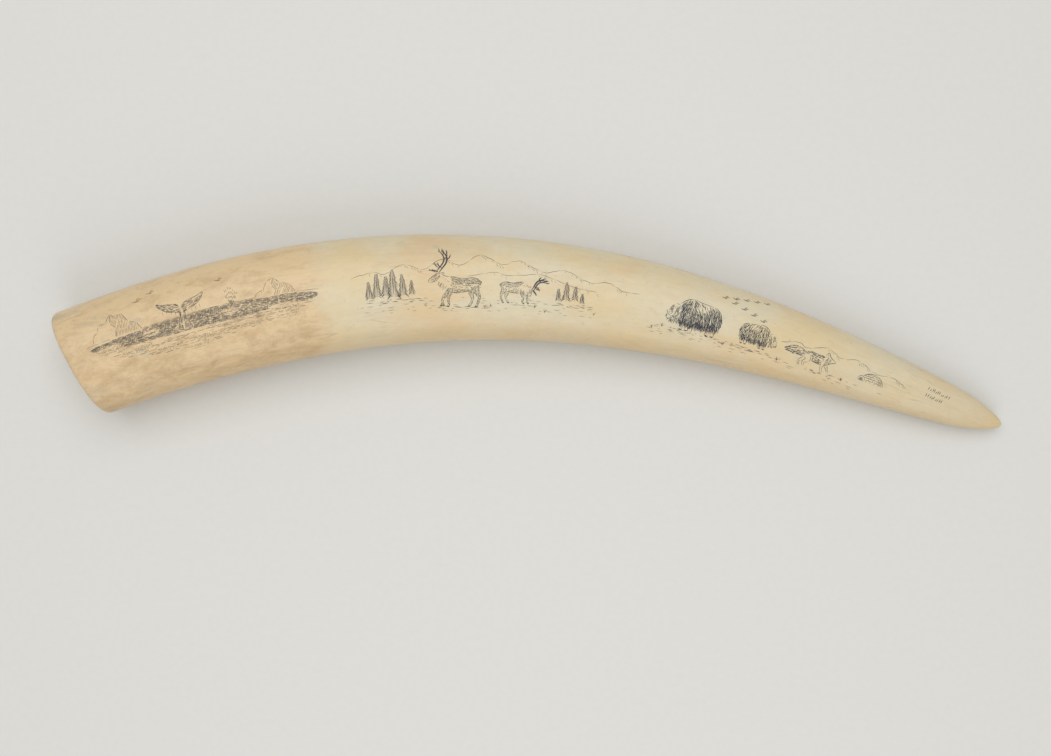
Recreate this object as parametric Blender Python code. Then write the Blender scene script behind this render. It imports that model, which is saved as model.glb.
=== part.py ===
"""A scrimshawed walrus tusk, one solid piece of ivory, lying on its side.

Metres, +Z up. The tusk lies in the XY plane with its sawn butt at -X, its tip at +X and
the outside of its bow at +Y. The origin is under the middle of the tusk's outline, on the
surface that it lies on. It is modelled as a straight round blank that is then bent along the
bow, tapered and flattened to the tusk's oval section.
"""

import math

import bmesh
import bpy
from mathutils import Vector

# The bow: a cubic curve down the middle of the tusk, seen from above
TIP_REACH = 0.5525  # from the butt's centre to the tip, along X
TIP_DROP = 0.0365  # how far the tip lies below the butt's centre, along -Y
BUTT_HEADING = math.radians(21.0)  # the way the middle line sets out from the butt
TIP_HEADING = math.radians(-20.4)  # the way it arrives at the tip
BUTT_HANDLE = 0.265  # how long the line keeps the butt's heading
TIP_HANDLE = 0.166  # how long it keeps the tip's heading

# Widths across the bow, from the butt to the tip
BUTT_WIDTH = 0.0665
FULLEST_WIDTH = 0.0675
MIDDLE_WIDTH = 0.0630
SHOULDER_WIDTH = 0.0540
NECK_WIDTH = 0.0390
LAST_TAPER_WIDTH = 0.0265
TIP_WIDTH = 0.0140
WIDTHS = (  # each at its share of the length
    (0.00, BUTT_WIDTH),
    (0.20, FULLEST_WIDTH),
    (0.40, MIDDLE_WIDTH),
    (0.60, SHOULDER_WIDTH),
    (0.80, NECK_WIDTH),
    (0.92, LAST_TAPER_WIDTH),
    (1.00, TIP_WIDTH),
)
FLATNESS = 0.74  # thickness, from the table up, over the width across the bow
SQUARENESS = 2.3  # 2 is a true ellipse; walrus tusks are a little fuller than that
NOSE_LENGTH = 0.030  # the stretch over which the blunt tip rounds off
TIP_LIFT = 0.003  # how far the tip curls up off the table
LIFT_START = 0.70  # share of the length where that curl begins

# The sawn butt, its softened rim, and the flat that the tusk lies on
BUTT_SKEW = math.radians(7.5)  # the saw cut is this far off square, seen from above
SKEW_FADE = 0.080  # sections come back to square over this length
RIM_RADIUS = 0.004
FLAT_DEPTH = 0.0002  # polished off the underside

# Fineness of the facets
SIDES = 56
RIM_RINGS = 4
BODY_RINGS = 42
NOSE_RINGS = 9

IVORY_COLOUR = (0.72, 0.60, 0.42, 1.0)
IVORY_ROUGHNESS = 0.38


def clear_scene():
    for item in list(bpy.data.objects):
        bpy.data.objects.remove(item, do_unlink=True)


def middle_line(steps=600):
    """Points down the middle of the tusk and the distance run to each one."""
    start = Vector((0.0, 0.0))
    end = Vector((TIP_REACH, -TIP_DROP))
    leave = start + BUTT_HANDLE * Vector((math.cos(BUTT_HEADING), math.sin(BUTT_HEADING)))
    arrive = end - TIP_HANDLE * Vector((math.cos(TIP_HEADING), math.sin(TIP_HEADING)))
    points = []
    for step in range(steps + 1):
        t = step / steps
        r = 1.0 - t
        points.append(r**3 * start + 3 * r * r * t * leave + 3 * r * t * t * arrive + t**3 * end)
    run = [0.0]
    for before, after in zip(points, points[1:]):
        run.append(run[-1] + (after - before).length)
    return points, run


def width_at(share):
    """The width across the bow, on a smooth curve through WIDTHS."""
    shares = [place for place, _ in WIDTHS]
    widths = [width for _, width in WIDTHS]
    last = len(WIDTHS) - 1

    def slope(i):
        low, high = max(i - 1, 0), min(i + 1, last)
        return (widths[high] - widths[low]) / (shares[high] - shares[low])

    i = max(k for k in range(last) if shares[k] <= share or k == 0)
    span = shares[i + 1] - shares[i]
    t = (share - shares[i]) / span
    return (
        (2 * t**3 - 3 * t**2 + 1) * widths[i]
        + (t**3 - 2 * t**2 + t) * span * slope(i)
        + (3 * t**2 - 2 * t**3) * widths[i + 1]
        + (t**3 - t**2) * span * slope(i + 1)
    )


def ring_distances(length):
    """How far along the tusk each ring of facets lies: close together at the rim and nose."""
    rim = [RIM_RADIUS * (1 - math.cos(math.pi / 2 * k / RIM_RINGS)) for k in range(RIM_RINGS)]
    nose_start = length - NOSE_LENGTH
    body = [
        RIM_RADIUS + (nose_start - RIM_RADIUS) * k / BODY_RINGS for k in range(BODY_RINGS)
    ]
    nose = [
        nose_start + NOSE_LENGTH * math.sin(math.pi / 2 * k / NOSE_RINGS)
        for k in range(NOSE_RINGS + 1)
    ]
    return rim + body + nose


def section(distance, line):
    """Centre, direction, half width and half thickness of the tusk at a distance."""
    points, run = line
    length = run[-1]
    k = max(i for i in range(len(run) - 1) if run[i] <= distance or i == 0)
    part = (distance - run[k]) / (run[k + 1] - run[k])
    centre = points[k].lerp(points[k + 1], min(part, 1.0))
    along = (points[k + 1] - points[k]).normalized()

    share = distance / length
    half_width = width_at(share) / 2
    half_thick = half_width * FLATNESS
    lift = max(share - LIFT_START, 0.0) / (1 - LIFT_START)
    height = half_thick - FLAT_DEPTH + TIP_LIFT * lift**2

    into_nose = max(distance - (length - NOSE_LENGTH), 0.0) / NOSE_LENGTH
    rounding = math.sqrt(max(1.0 - into_nose**2, 0.0))
    from_rim = max(RIM_RADIUS - distance, 0.0)
    inset = RIM_RADIUS - math.sqrt(RIM_RADIUS**2 - from_rim**2)
    middle = Vector((centre.x, centre.y, height))
    return middle, along, half_width * rounding - inset, half_thick * rounding - inset


def swell(value):
    """Turns a circle's sine or cosine into that of the fuller oval."""
    return math.copysign(abs(value) ** (2 / SQUARENESS), value)


def surface_point(distance, angle, line):
    """The point of the tusk's skin at a distance along it and an angle round it."""
    middle, along, half_width, half_thick = section(distance, line)
    across = Vector((-along.y, along.x, 0.0))
    out = half_width * swell(math.cos(angle))
    fade = max(1.0 - distance / SKEW_FADE, 0.0) ** 2
    back = -math.tan(BUTT_SKEW) * out * fade
    place = middle + out * across + back * Vector((along.x, along.y, 0.0))
    place.z += half_thick * swell(math.sin(angle))
    return place


def straight_blank(rings):
    """A closed round bar of unit length along Z, cut into rings and closed with flat ends."""
    bar = bmesh.new()
    bmesh.ops.create_cone(
        bar, cap_ends=True, segments=SIDES, radius1=1.0, radius2=1.0, depth=1.0
    )
    bmesh.ops.translate(bar, verts=bar.verts, vec=(0.0, 0.0, 0.5))
    lengthwise = [e for e in bar.edges if abs(e.verts[0].co.z - e.verts[1].co.z) > 0.5]
    bmesh.ops.subdivide_edges(bar, edges=lengthwise, cuts=rings - 2, use_grid_fill=True)
    return bar


def bend_and_taper(bar, distances, line):
    """Moves each ring of the blank to its section of the tusk, and draws the tip to a point."""
    tip_ring = []
    for vert in bar.verts:
        ring = round(vert.co.z * (len(distances) - 1))
        angle = math.atan2(vert.co.y, vert.co.x)
        if ring == len(distances) - 1:
            tip_ring.append(vert)
        vert.co = surface_point(distances[ring], angle, line)
    tip = sum((vert.co for vert in tip_ring), Vector()) / len(tip_ring)
    bmesh.ops.pointmerge(bar, verts=tip_ring, merge_co=tip)


def grind_flat(bar):
    """Takes off what lies under the table's level, which leaves the long flat to lie on."""
    everything = bar.verts[:] + bar.edges[:] + bar.faces[:]
    cut = bmesh.ops.bisect_plane(
        bar,
        geom=everything,
        dist=1e-7,
        plane_co=(0.0, 0.0, 0.0),
        plane_no=(0.0, 0.0, -1.0),
        clear_outer=True,
    )
    rim = [e for e in cut["geom_cut"] if isinstance(e, bmesh.types.BMEdge)]
    bmesh.ops.contextual_create(bar, geom=rim)


def centre_on_origin(bar):
    """Puts the origin under the middle of the outline."""
    low = [min(vert.co[axis] for vert in bar.verts) for axis in (0, 1)]
    high = [max(vert.co[axis] for vert in bar.verts) for axis in (0, 1)]
    middle = Vector(((low[0] + high[0]) / 2, (low[1] + high[1]) / 2, 0.0))
    bmesh.ops.translate(bar, verts=bar.verts, vec=-middle)


def ivory():
    material = bpy.data.materials.new("polished_ivory")
    material.use_nodes = True
    shader = material.node_tree.nodes["Principled BSDF"]
    shader.inputs["Base Color"].default_value = IVORY_COLOUR
    shader.inputs["Roughness"].default_value = IVORY_ROUGHNESS
    shader.inputs["Metallic"].default_value = 0.0
    return material


def make_tusk(parts):
    line = middle_line()
    distances = ring_distances(line[1][-1])
    bar = straight_blank(len(distances))
    bend_and_taper(bar, distances, line)
    grind_flat(bar)
    centre_on_origin(bar)
    bmesh.ops.recalc_face_normals(bar, faces=bar.faces)

    mesh = bpy.data.meshes.new("tusk")
    bar.to_mesh(mesh)
    bar.free()
    mesh.shade_smooth()
    mesh.set_sharp_from_angle(angle=math.radians(40))
    mesh.materials.append(ivory())
    tusk = bpy.data.objects.new("tusk", mesh)
    parts.objects.link(tusk)
    return tusk


def main():
    clear_scene()
    parts = bpy.data.collections.new("scrimshaw_walrus_tusk")
    bpy.context.scene.collection.children.link(parts)
    make_tusk(parts)


main()
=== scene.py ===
"""A scrimshawed walrus tusk lying on its side: polished ivory, cut with a fine blade and inked."""

import math
import random

import bmesh
import bpy
import numpy as np
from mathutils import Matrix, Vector, geometry


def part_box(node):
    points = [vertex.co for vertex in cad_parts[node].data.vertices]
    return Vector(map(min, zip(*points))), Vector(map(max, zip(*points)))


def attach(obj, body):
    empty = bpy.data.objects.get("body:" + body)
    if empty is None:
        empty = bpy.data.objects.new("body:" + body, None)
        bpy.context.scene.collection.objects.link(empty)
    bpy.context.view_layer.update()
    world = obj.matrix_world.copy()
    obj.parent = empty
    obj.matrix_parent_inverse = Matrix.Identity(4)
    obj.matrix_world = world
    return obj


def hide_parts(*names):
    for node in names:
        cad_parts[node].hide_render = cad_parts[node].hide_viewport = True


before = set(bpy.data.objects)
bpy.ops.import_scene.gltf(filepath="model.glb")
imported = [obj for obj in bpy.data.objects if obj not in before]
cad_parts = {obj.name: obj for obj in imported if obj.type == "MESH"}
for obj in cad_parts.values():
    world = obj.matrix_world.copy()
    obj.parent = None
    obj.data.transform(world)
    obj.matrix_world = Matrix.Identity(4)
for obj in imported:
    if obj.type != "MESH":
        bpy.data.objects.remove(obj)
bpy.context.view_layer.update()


# The pictures.
# Scenes of the far north, cut freehand with a fine blade: every line is a run of short passes, and
# every shade is made of many single cuts. They are drawn here flat, in millimetres along the tusk
# from the butt and round it from the crest, and are laid on the skin with the ivory further on.

INKS = {"black": "#34353D", "grey": "#545049", "brown": "#6E604B"}  # lampblack, and the same worn thin
LINE_WIDTH = 0.27  # of an outline, in millimetres
HAIR_WIDTH = 0.24  # of the finest single cuts
SHORTEST_CUT = 0.25
CLEARING_STEP = 0.3  # between the spots where a cut is tested for what stands in front of it
BROKEN_END = 0.4  # the share of its width that a cut keeps where it is broken off

cuts = []  # each one's points, its half width at each, its ink, and the box it lies in
hand = random.Random(7)


def lengths(points):
    """How far along a line each of its points lies."""
    return np.concatenate(([0.0], np.cumsum(np.linalg.norm(np.diff(points, axis=0), axis=1))))


def smooth(points, closed=False, step=0.8):
    """Points every step or so on a smooth curve through a few chosen ones."""
    points = np.asarray(points, float)
    if closed:
        ring = np.vstack((points[-1:], points, points[:2]))
    else:
        ring = np.vstack((2 * points[0] - points[1], points, 2 * points[-1] - points[-2]))
    made = []
    for a, b, c, d in zip(ring, ring[1:], ring[2:], ring[3:]):
        count = max(2, math.ceil(np.linalg.norm(c - b) / step))
        t = np.arange(count)[:, None] / count
        bow = (2 * a - 5 * b + 4 * c - d) * t**2 + (3 * (b - c) + d - a) * t**3
        made.append(0.5 * (2 * b + (c - a) * t + bow))
    if not closed:
        made.append(points[-1:])
    return np.vstack(made)


def inside(points, outline):
    """Which of the points lie inside a closed outline."""
    x, y = np.asarray(points, float).T[:, :, None]
    ax, ay = outline.T
    bx, by = np.roll(outline, -1, axis=0).T
    spans = (ay > y) != (by > y)
    rise = np.where(by == ay, 1.0, by - ay)
    return ((x < ax + (y - ay) / rise * (bx - ax)) & spans).sum(axis=1) % 2 == 1


def heading(degrees):
    """The direction of an angle, as a step of unit length."""
    return np.array((math.cos(math.radians(degrees)), math.sin(math.radians(degrees))))


def engrave(points, halves, ink):
    cuts.append((points, halves, ink, (*points.min(axis=0).tolist(), *points.max(axis=0).tolist())))


class Blade:
    """The hand that cuts one figure. Its lines are given in the figure's own measure."""

    def __init__(self, x=0.0, y=0.0, size=1.0, turn=0.0, mirror=False):
        along = heading(turn) * size
        self.size = size
        self.matrix = np.array(((-along[0] if mirror else along[0], -along[1]),
                                (-along[1] if mirror else along[1], along[0])))
        self.place = np.array((x, y), float)

    def swung(self, pivot, degrees):
        """The same hand, drawing a head or limb that is swung about its joint."""
        other = Blade(size=self.size)
        along = heading(degrees)
        swing = np.array(((along[0], -along[1]), (along[1], along[0])))
        other.matrix = self.matrix @ swing
        other.place = self.place + self.matrix @ (np.array(pivot) - swing @ np.array(pivot))
        return other

    def at(self, points):
        return np.asarray(points, float) @ self.matrix.T + self.place

    def stroke(self, points, width, ink, blunt=0.0):
        """One pass of the blade, which goes in fine and comes out fine."""
        points = self.at(points)
        run = lengths(points)
        if run[-1] > SHORTEST_CUT:
            swelling = np.sin(math.pi * run / run[-1]).clip(0.0) ** 0.6
            engrave(points, width / 2 * np.maximum(swelling, blunt), ink)

    def line(self, points, ink, width=LINE_WIDTH, passes=11.0):
        """A long line, cut in several passes that run into each other."""
        curve = smooth(points, step=0.5)
        run = lengths(curve)
        start = 0.0
        while start < run[-1] - 0.3:
            end = start + passes * hand.uniform(0.6, 1.3)
            if run[-1] - end < 0.3 * passes:
                end = run[-1]
            at = np.linspace(max(start - 0.5, 0.0), end, max(3, math.ceil((end - start) / 1.3) + 1))
            part = np.column_stack([np.interp(at, run, curve[:, k]) for k in (0, 1)])
            self.stroke(part, width * hand.uniform(0.8, 1.2), ink, blunt=0.3)
            start = end

    def clear(self, outline):
        """Leaves bare what lies inside an outline, for what stands in front."""
        outline = self.at(outline)
        left, low = outline.min(axis=0).tolist()
        right, high = outline.max(axis=0).tolist()
        before = cuts.copy()
        cuts.clear()
        for cut in before:
            points, halves, ink, box = cut
            if box[2] < left or box[0] > right or box[3] < low or box[1] > high:
                cuts.append(cut)
                continue
            count = max(3, math.ceil(lengths(points)[-1] / CLEARING_STEP) + 1)
            where = np.linspace(0, len(points) - 1, count)
            columns = (*points.T, halves)
            fine = np.column_stack([np.interp(where, range(len(points)), column) for column in columns])
            hidden = inside(fine[:, :2], outline)
            if not hidden.any():
                cuts.append(cut)
                continue
            gone = np.concatenate(([True], hidden, [True]))
            starts = np.nonzero(gone[:-1] & ~gone[1:])[0]
            ends = np.nonzero(~gone[:-1] & gone[1:])[0]
            for start, end in zip(starts, ends):
                if end - start >= 3:
                    part = fine[np.unique(np.r_[start:end:4, end - 1])]
                    part[[0, -1], 2] *= BROKEN_END
                    engrave(part[:, :2], part[:, 2], ink)

    def hatch(self, outline, angle, ink, gap, width, dash=(2.5, 5.0), keep=1.0):
        """Fills an outline with rows of short straight cuts at one angle, so many real mm apart."""
        outline = np.asarray(outline, float)
        along = heading(angle)
        over = heading(angle + 90)
        after = np.roll(outline, -1, axis=0)
        gap = gap / self.size
        for level in np.arange((outline @ over).min() + gap / 2, (outline @ over).max(), gap):
            row = level + hand.uniform(-0.25, 0.25) * gap
            a, b = outline @ over - row, after @ over - row
            crossed = (a > 0) != (b > 0)
            t = a[crossed] / (a[crossed] - b[crossed])
            reach = np.sort((outline[crossed] + t[:, None] * (after - outline)[crossed]) @ along)
            for low, high in zip(reach[::2], reach[1::2]):
                start = low + hand.uniform(0, 0.3)
                while start < high - 0.4:
                    end = min(start + hand.uniform(*dash), high + hand.uniform(-0.15, 0.15))
                    middle = (start + end) / 2 * along + row * over
                    if hand.random() < keep:
                        half = (end - start) / 2 * along + hand.uniform(-0.12, 0.12) * gap * over
                        points = [middle + share * half for share in (-1.0, -0.6, 0.6, 1.0)]
                        self.stroke(points, width * hand.uniform(0.75, 1.2), ink)
                    start = end + hand.uniform(0.1, 0.5)

    def hair(self, outline, lie, ink, gap, length, width=HAIR_WIDTH, keep=1.0):
        """Covers an outline with short cuts that follow the way the hair lies, in degrees."""
        outline = np.asarray(outline, float)
        gap = gap / self.size
        low, high = outline.min(axis=0), outline.max(axis=0)
        spots = [
            (x + hand.uniform(-0.45, 0.45) * gap, y + hand.uniform(-0.45, 0.45) * gap)
            for k, y in enumerate(np.arange(low[1], high[1] + gap, gap))
            for x in np.arange(low[0] + (k % 2) * gap / 2, high[0] + gap, gap)
        ]
        for x, y in np.array(spots)[inside(spots, outline)]:
            chance = keep(x, y) if callable(keep) else keep
            if hand.random() > chance:
                continue
            angle = (lie(x, y) if callable(lie) else lie) + hand.uniform(-9, 9)
            tip = heading(angle) * length * hand.uniform(0.6, 1.25)
            curl = heading(angle + 90) * length * hand.uniform(-0.1, 0.1)
            root = np.array((x, y))
            self.stroke((root, root + tip / 2 + curl, root + tip), width * hand.uniform(0.7, 1.2), ink)

    def limb(self, path, widths, ink, shade=None, open_ends=False):
        """A leg or branch: clears what lies behind it, shades it, and cuts its two sides."""
        curve = smooth(path, step=0.5)
        run = lengths(curve)
        halves = np.interp(run * lengths(np.array(path))[-1] / run[-1], lengths(np.array(path)),
                           widths) / 2
        way = np.gradient(curve, axis=0)
        way /= np.linalg.norm(way, axis=1)[:, None]
        side = np.column_stack((-way[:, 1], way[:, 0])) * halves[:, None]
        left, right = curve + side, curve - side
        outline = np.vstack((left, right[::-1]))
        self.clear(outline)
        if shade is not None:
            self.hair(outline, shade, ink, gap=0.56, length=1.3, width=0.25)
        for edge in (left[::2], right[::2]) if open_ends else (np.vstack((left[::2], right[::-2])),):
            self.line(edge, ink, passes=8)


def flukes(x, y, ink):
    """A whale's tail, standing out of the water as it goes down."""
    pen = Blade(x, y, turn=-3)
    stock = smooth([(-1.9, 9.4), (-1.4, 7.4), (-2.5, 3.6), (-3.8, 0.0), (4.2, 0.0), (2.8, 3.6),
                    (1.6, 7.4), (2.1, 9.4)])
    left = smooth([(0.0, 9.2), (-5.0, 10.4), (-9.4, 12.0), (-12.6, 14.6), (-14.0, 17.4),
                   (-10.8, 16.2), (-6.6, 15.6), (-2.8, 14.9), (-0.3, 12.4)])
    right = smooth([(-0.3, 12.4), (2.4, 15.2), (6.2, 16.4), (10.4, 17.6), (13.4, 19.4),
                    (12.4, 16.2), (9.6, 13.2), (5.4, 11.0), (0.4, 9.2)])
    for part, angle in ((stock, 88), (left, 150), (right, 28)):
        pen.clear(part)
        pen.hatch(part, angle, ink, gap=0.58, width=0.46, keep=0.94)
        pen.line(part[::3], ink, width=0.34, passes=8)
    for drop in np.arange(-11.0, 13.0, 2.4):
        top = 9.4 + abs(drop) * 0.28 + hand.uniform(-0.4, 0.2)
        pen.stroke([(drop, top), (drop, top - 1.0), (drop + 0.1, top - hand.uniform(1.6, 3.6))],
                   HAIR_WIDTH, ink)


def blowing_whale(x, y, ink):
    """A whale's back breaking the water, and its blow."""
    pen = Blade(x, y)
    back = smooth([(-11.0, 0.0), (-8.6, 2.8), (-5.0, 4.4), (-1.0, 4.5), (3.6, 3.4), (8.0, 1.5),
                   (12.0, 0.0)])
    pen.clear(back)
    pen.hatch(back, -7, ink, gap=0.56, width=0.46, keep=0.95)
    pen.line(back[::3], ink, width=0.34)
    blowhole = np.array((-7.6, 3.9))
    for k in range(-5, 6):
        way = heading(90 + 5.5 * k + hand.uniform(-2, 2))
        start = hand.uniform(0.5, 2.5)
        while start < 11.0 - 0.7 * abs(k):
            end = start + hand.uniform(1.2, 2.4)
            pen.stroke(blowhole + np.outer((start, (start + end) / 2, end), way), 0.27, ink)
            start = end + hand.uniform(0.4, 1.0)


def iceberg(x, y, crest, fold, ink, size=1.0):
    """A berg: its crest, and the shaded face that starts at the fold under one of its peaks."""
    pen = Blade(x, y, size)
    pen.clear([*crest, (crest[-1][0], 0.0), (crest[0][0], 0.0)])
    for edge in (crest, fold):
        for a, b in zip(edge, edge[1:]):
            pen.line([a, b], ink, passes=9)
    peak = crest.index(fold[0])
    pen.hatch([*crest[peak:], (crest[-1][0], 0.2), *reversed(fold)], 64, ink, gap=0.78, width=0.26,
              keep=0.9)
    for a, b in zip(crest[:peak], crest[1 : peak + 1]):
        pen.hatch([a, b, (b[0] - 0.8, b[1] - 1.9), (a[0] - 0.2, a[1] - 1.5)], 70, ink, gap=1.2,
                  width=0.2, keep=0.7)


def floe(x, y, long, deep, ink):
    """A plate of sea ice, seen low over the water, with the broken edge that faces the viewer."""
    pen = Blade(x, y)
    corners = [heading(k * 360 / 11) for k in range(11)]
    top = [(long / 2 * px * hand.uniform(0.86, 1.1), deep / 2 * py * hand.uniform(0.75, 1.2))
           for px, py in corners]
    near = [corner for corner in top if corner[1] < deep * 0.1]
    face = near + [(px * 0.985, py - 1.7 * hand.uniform(0.75, 1.1)) for px, py in reversed(near)]
    pen.clear(np.array(face))
    pen.clear(np.array(top))
    for a, b in zip(top, top[1:] + top[:1]):
        pen.line([a, b], ink, width=0.22, passes=9)
    pen.hatch(face, 86, ink, gap=0.72, width=0.28, dash=(1.0, 1.7), keep=0.85)
    for _ in range(int(long / 6)):
        left, level = hand.uniform(-0.3, 0.3) * long, hand.uniform(-0.25, 0.25) * deep
        right = left + hand.uniform(1.8, 3.6)
        pen.stroke([(left, level), (left + 1.0, level + 0.12), (right, level)], 0.2, ink)


def goose(x, y, size, ink):
    """A goose on the wing, seen from far off; it flies left."""
    pen = Blade(x, y, size, turn=hand.uniform(-8, 8))
    pen.stroke(smooth([(-2.8, 0.6), (-1.4, 0.25), (0.0, 0.0), (1.5, -0.1)]), 0.44, ink)
    pen.stroke(smooth([(-0.5, 0.1), (0.3, 1.3), (1.7, 2.3)]), 0.40, ink)
    pen.stroke(smooth([(0.1, 0.0), (1.3, 0.9), (2.9, 1.1)]), 0.36, ink)


def hills(points, ink, keep=0.7):
    """A line of far hills, with short strokes down their shaded sides."""
    pen = Blade()
    crest = smooth(points, step=1.8)
    crest[:, 1] += [hand.uniform(-0.3, 0.3) for _ in crest]
    pen.line(crest, ink, width=0.24)
    for a, b in zip(crest, crest[1:]):
        if b[1] < a[1] and hand.random() < keep:
            reach = heading(hand.uniform(-66, -50)) * hand.uniform(1.0, 3.4)
            root = a + (b - a) * hand.random() - (0.0, 0.4)
            pen.stroke([root, root + reach / 2, root + reach], 0.22, ink)


def spruce(x, y, tall, ink):
    """A stunted spruce of the tree line: narrow, with short drooping boughs."""
    pen = Blade(x, y, turn=hand.uniform(-3, 3))
    pen.stroke([(0, -0.4), (0.1, tall / 2), (0, tall)], 0.5, ink)
    for level in np.arange(1.0, tall - 0.5, 0.62):
        for side in (-1, 1):
            out = side * ((1 - level / tall) ** 0.8 * tall * 0.24 + 0.5) * hand.uniform(0.65, 1.15)
            bough = [(0, level + 0.4), (out * 0.55, level + 0.1), (out, level - 0.5 * abs(out))]
            pen.stroke(bough, 0.41, ink)


def ground(x, y, long, deep, ink, rows, keep, width=HAIR_WIDTH):
    """Level ground: broken strokes along it, in rows."""
    for row in range(rows):
        at = x + hand.uniform(0, 3)
        while at < x + long:
            reach = hand.uniform(1.5, 6.0)
            if hand.random() < keep:
                pen = Blade(at, y - deep * row / max(rows - 1, 1) + hand.uniform(-0.4, 0.4))
                pen.stroke([(0, 0), (reach / 2, hand.uniform(-0.15, 0.25)), (reach, 0)], width, ink)
            at += reach + hand.uniform(0.5, 3.0)


def tussock(x, y, ink):
    """A tuft of cotton grass."""
    for _ in range(hand.randint(4, 6)):
        tip = heading(90 + hand.uniform(-40, 40)) * hand.uniform(1.4, 3.0)
        Blade(x, y).stroke([(hand.uniform(-0.5, 0.5), 0), tip * (0.35, 0.6), tip], HAIR_WIDTH, ink)


def caribou(x, y, size, coat, ink, mirror=False, head_swing=0.0):
    """A caribou walking. It faces left; its head swings down to graze."""
    pen = Blade(x, y, size, mirror=mirror)
    pen.limb([(-6.4, 12.4), (-9.4, 9.0), (-12.2, 5.9), (-12.6, 2.4), (-13.6, 0.9)],
             (4.2, 2.5, 1.5, 1.1, 1.6), coat, -115)
    pen.limb([(8.0, 12.5), (6.8, 9.2), (8.0, 5.8), (6.4, 1.9), (5.4, 0.5)],
             (5.0, 3.2, 1.5, 1.1, 1.6), coat, -95)
    body = smooth([(-9.8, 14.6), (-9.8, 18.0), (-7.0, 20.3), (-2.4, 19.6), (3.0, 18.9), (7.8, 19.6),
                   (11.4, 18.6), (12.8, 15.8), (11.8, 12.4), (8.0, 11.0), (3.0, 10.0), (-3.0, 9.4),
                   (-7.2, 10.0)], closed=True)
    pen.clear(body)
    pen.hair(body, -14, coat, gap=0.60, length=2.1, width=0.27,
             keep=lambda px, py: 0.97 if py > 15.2 + 0.8 * math.sin(px) or py < 11.8 else 0.45)
    pen.line([(-8.6, 19.3), (-7.0, 20.3), (-2.4, 19.6), (3.0, 18.9), (7.8, 19.6), (11.4, 18.6),
              (12.9, 15.8), (12.5, 13.6)], ink, width=0.32)
    pen.line([(8.2, 11.2), (3.0, 10.0), (-3.0, 9.4), (-6.6, 9.9)], ink)
    pen.limb([(9.2, 14.6), (10.4, 10.6), (12.5, 6.7), (11.3, 2.1), (10.4, 0.5)],
             (5.6, 3.9, 1.6, 1.1, 1.7), ink, -88, open_ends=True)
    pen.limb([(-7.4, 13.2), (-7.2, 9.8), (-8.6, 5.9), (-8.1, 2.0), (-9.0, 0.5)],
             (4.4, 2.9, 1.6, 1.1, 1.7), ink, -92, open_ends=True)
    for hoof in ((-13.7, 0.7), (5.2, 0.3), (10.2, 0.3), (-9.2, 0.3)):
        pen.stroke([(hoof[0] - 1.2, hoof[1] - 0.1), hoof, (hoof[0] + 1.2, hoof[1] + 0.1)], 0.8, ink)
    pen.stroke([(12.6, 17.6), (13.7, 16.8), (13.5, 15.4)], 0.5, ink)

    pen = pen.swung((-8.0, 17.0), head_swing)
    neck = smooth([(-7.6, 20.0), (-11.4, 21.0), (-13.6, 22.2), (-16.2, 19.2), (-14.4, 16.2),
                   (-12.6, 13.6), (-9.6, 12.6), (-7.2, 15.0)], closed=True)
    pen.clear(neck)
    pen.line([(-7.2, 20.2), (-10.2, 20.6), (-13.4, 22.4)], ink)
    pen.hair([(-15.2, 17.6), (-12.0, 16.6), (-9.2, 13.8), (-10.6, 12.6), (-13.4, 14.2),
              (-15.2, 16.4)], -112, ink, gap=0.74, length=2.3)
    pen.hair([(-12.6, 20.8), (-9.0, 19.6), (-8.0, 16.4), (-11.0, 17.0)], -70, coat, gap=1.2, length=1.6)
    head = [(-13.6, 22.6), (-16.2, 22.4), (-19.0, 20.4), (-21.3, 18.5), (-21.9, 17.3),
            (-20.9, 16.4), (-18.4, 17.0), (-15.6, 17.9)]
    outline = smooth([*head, (-14.0, 19.6)], closed=True)
    pen.clear(outline)
    pen.hair(outline, 40, coat, gap=0.62, length=1.4, width=0.3,
             keep=lambda px, py: 0.9 if px > -20.2 else 0.2)
    pen.line(head, ink)
    pen.stroke([(-17.6, 20.6), (-17.0, 20.8), (-16.5, 20.5)], 0.5, ink)
    pen.limb([(-13.7, 22.0), (-12.2, 22.7), (-10.9, 22.2)], (0.6, 1.2, 0.2), ink)
    for shift, shade in (((-2.0, 0.2), coat), ((0.0, 0.0), ink)):
        for branch, width in (
            ([(-15.0, 22.6), (-12.6, 25.8), (-9.9, 29.6), (-9.3, 33.4), (-11.2, 37.0), (-13.6, 38.6)],
             0.9),
            ([(-9.5, 31.6), (-7.6, 33.8), (-7.0, 36.2)], 0.65),
            ([(-9.9, 35.0), (-9.4, 37.6), (-10.2, 39.6)], 0.65),
            ([(-11.9, 37.4), (-12.6, 39.4), (-12.4, 40.8)], 0.55),
            ([(-12.4, 26.0), (-14.8, 28.0), (-15.4, 30.6)], 0.65),
            ([(-15.2, 28.4), (-16.8, 29.4)], 0.5),
            ([(-14.6, 23.2), (-17.6, 24.6), (-19.6, 24.2)], 0.65),
            ([(-18.0, 24.6), (-19.4, 25.6)], 0.5),
        ):
            pen.stroke(smooth(np.array(branch) + shift, step=1.4), width, shade, blunt=0.35)


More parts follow.
